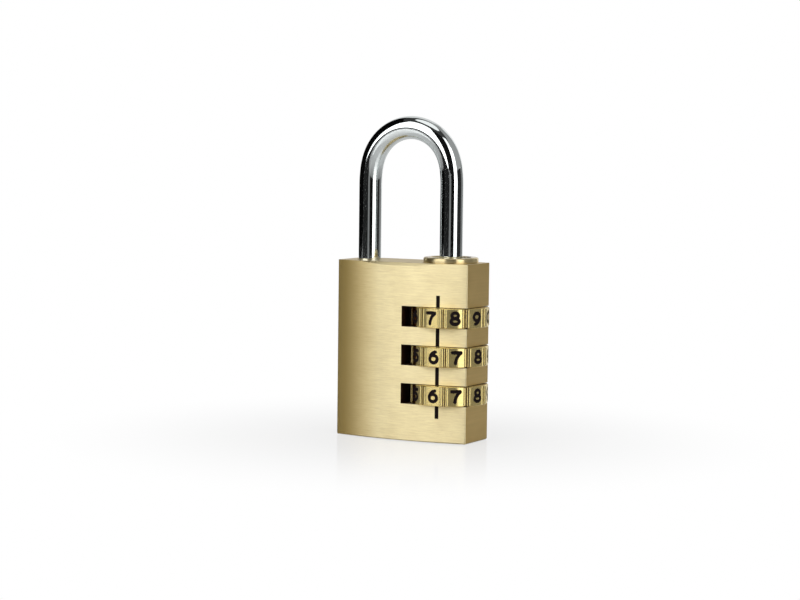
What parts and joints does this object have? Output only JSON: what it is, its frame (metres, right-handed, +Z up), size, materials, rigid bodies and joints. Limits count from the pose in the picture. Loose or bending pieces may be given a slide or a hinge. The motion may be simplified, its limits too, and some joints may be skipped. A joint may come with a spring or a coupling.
{
  "type": "combination padlock",
  "caption": "Small brass padlock with a crowned block, a chromed U shackle and number dials that turn about its long leg.",
  "frame": {"origin": "middle of the block's flat bottom face", "axes": "+Z up, along the shackle's legs; -Y the front, where the dials are read at the index line; +X the right side, where the long leg and the dials are"},
  "size_m": [0.0315, 0.0158, 0.0658],
  "materials": {
    "brushed_brass": "brushed",
    "turned_brass": "turned",
    "dial_brass": "polished",
    "chrome": "polished",
    "steel": "satin"
  },
  "bodies": {
    "block": {"lock_body": "brushed_brass", "collar_nut": "turned_brass", "spacer_1": "turned_brass", "spacer_2": "turned_brass", "thrust_washer": "steel", "reset_spring": "steel", "spring_pin": "steel", "shackle_spring": "steel", "detent_ball_1": "steel", "detent_ball_2": "steel", "detent_ball_3": "steel", "detent_spring_1": "steel", "detent_spring_2": "steel", "detent_spring_3": "steel"},
    "shackle": {"shackle": "chrome"},
    "dial_1": {"dial_1": "dial_brass", "hub_1": "turned_brass"},
    "dial_2": {"dial_2": "dial_brass", "hub_2": "turned_brass"},
    "dial_3": {"dial_3": "dial_brass", "hub_3": "turned_brass"}
  },
  "joints": [
    {"name": "shackle_lift", "type": "slide", "parent": "block", "child": "shackle", "axis": [0, 0, 1], "range_m": [0, 0.00785], "deforming": ["shackle_spring"]},
    {"name": "dial_1_spin", "type": "hinge", "parent": "block", "child": "dial_1", "pos_m": [0.0086, 0, 0.02535], "axis": [0, 0, 1], "continuous": true},
    {"name": "dial_2_spin", "type": "hinge", "parent": "block", "child": "dial_2", "pos_m": [0.0086, 0, 0.0175], "axis": [0, 0, 1], "continuous": true},
    {"name": "dial_3_spin", "type": "hinge", "parent": "block", "child": "dial_3", "pos_m": [0.0086, 0, 0.00965], "axis": [0, 0, 1], "continuous": true}
  ]
}
